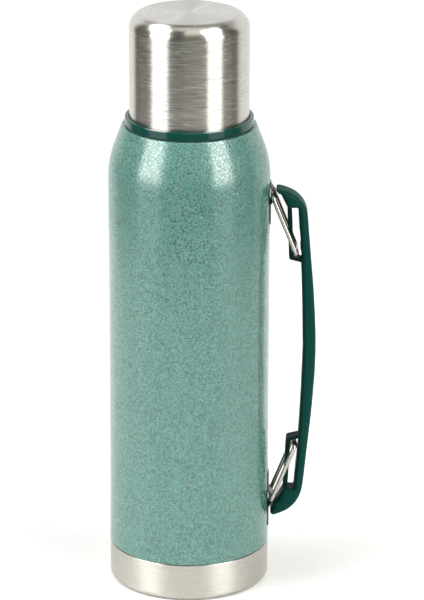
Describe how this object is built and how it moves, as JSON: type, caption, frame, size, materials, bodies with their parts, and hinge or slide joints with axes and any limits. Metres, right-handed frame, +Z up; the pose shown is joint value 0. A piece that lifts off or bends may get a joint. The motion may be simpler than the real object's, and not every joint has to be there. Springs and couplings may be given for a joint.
{
  "type": "vacuum flask",
  "caption": "Double-walled steel vacuum flask with screw stopper, drinking cup as a lid and a folding side handle on two wire bails.",
  "frame": {"origin": "centre of the flat underside, on the flask's axis", "axes": "+Z up along the flask's axis, +X from the axis towards the handle"},
  "size_m": [0.129, 0.1, 0.3675],
  "materials": {
    "hammertone_green": "hammered enamel with fine dark veins, semi-gloss",
    "base_steel": "satin, brushed round",
    "cup_steel": "brushed round, bright",
    "plain_steel": "plain rolled sheet",
    "bracket_steel": "stamped, darker",
    "wire_steel": "drawn wire, bright",
    "green_plastic": "moulded, semi-gloss",
    "black_plastic": "moulded, fine grain",
    "foam": "closed-cell foam",
    "black_rubber": "matt",
    "silicone": "matt, translucent white",
    "foil": "bright foil",
    "getter_pellet": "sintered",
    "braze": "brazed button"
  },
  "bodies": {
    "flask": {"outer_shell": "hammertone_green", "base_band": "base_steel", "outer_bottom": "plain_steel", "vacuum_plug": "braze", "inner_vessel": "plain_steel", "inner_bottom": "plain_steel", "getter": "getter_pellet", "getter_clip": "plain_steel", "radiation_foil": "foil", "neck_collar": "green_plastic", "collar_gasket": "black_rubber", "upper_bracket": "bracket_steel", "lower_bracket": "bracket_steel"},
    "cup_seat": {"cup_gasket": "black_rubber"},
    "cup_core": {"cup_insulation": "foam"},
    "cup": {"cup_shell": "cup_steel", "cup_liner": "black_plastic"},
    "stopper_seals": {"stopper_gasket": "silicone", "stopper_flange_seal": "silicone"},
    "stopper": {"stopper_body": "black_plastic", "stopper_insulation": "foam", "stopper_cap": "black_plastic", "stopper_plate": "plain_steel"},
    "upper_bail": {"upper_bail": "wire_steel"},
    "lower_bail": {"lower_bail": "wire_steel"},
    "handle": {"handle": "green_plastic"}
  },
  "joints": [
    {"name": "cup_lift", "type": "slide", "parent": "flask", "child": "cup_seat", "axis": [0, 0, 1], "range_m": [0, 0.075]},
    {"name": "cup_rise", "type": "slide", "parent": "cup_seat", "child": "cup_core", "axis": [0, 0, 1], "range_m": [0, 0.006]},
    {"name": "cup_turn", "type": "hinge", "parent": "cup_core", "child": "cup", "pos_m": [0, 0, 0.334], "axis": [0, 0, 1], "range_deg": [0, 540]},
    {"name": "stopper_rise", "type": "slide", "parent": "flask", "child": "stopper_seals", "axis": [0, 0, 1], "range_m": [0, 0.008]},
    {"name": "stopper_turn", "type": "hinge", "parent": "stopper_seals", "child": "stopper", "pos_m": [0, 0, 0.32], "axis": [0, 0, 1], "range_deg": [0, 720]},
    {"name": "handle_swing", "type": "hinge", "parent": "flask", "child": "upper_bail", "pos_m": [0.0516, 0, 0.25245], "axis": [0, -1, 0], "range_deg": [0, 32]},
    {"name": "handle_pivot", "type": "hinge", "parent": "upper_bail", "child": "handle", "pos_m": [0.0664, 0, 0.21545], "axis": [0, -1, 0], "range_deg": [-31.25, 0]},
    {"name": "lower_bail_swing", "type": "hinge", "parent": "flask", "child": "lower_bail", "pos_m": [0.0516, 0, 0.05135], "axis": [0, 1, 0], "range_deg": [0, 32]}
  ],
  "couplings": [
    {"joint": "cup_rise", "follows": "cup_turn", "m_per_rad": 0.0006366},
    {"joint": "stopper_rise", "follows": "stopper_turn", "m_per_rad": 0.0006366},
    {"joint": "handle_pivot", "follows": "handle_swing", "ratio": -0.975},
    {"joint": "lower_bail_swing", "follows": "handle_swing", "ratio": 1}
  ]
}
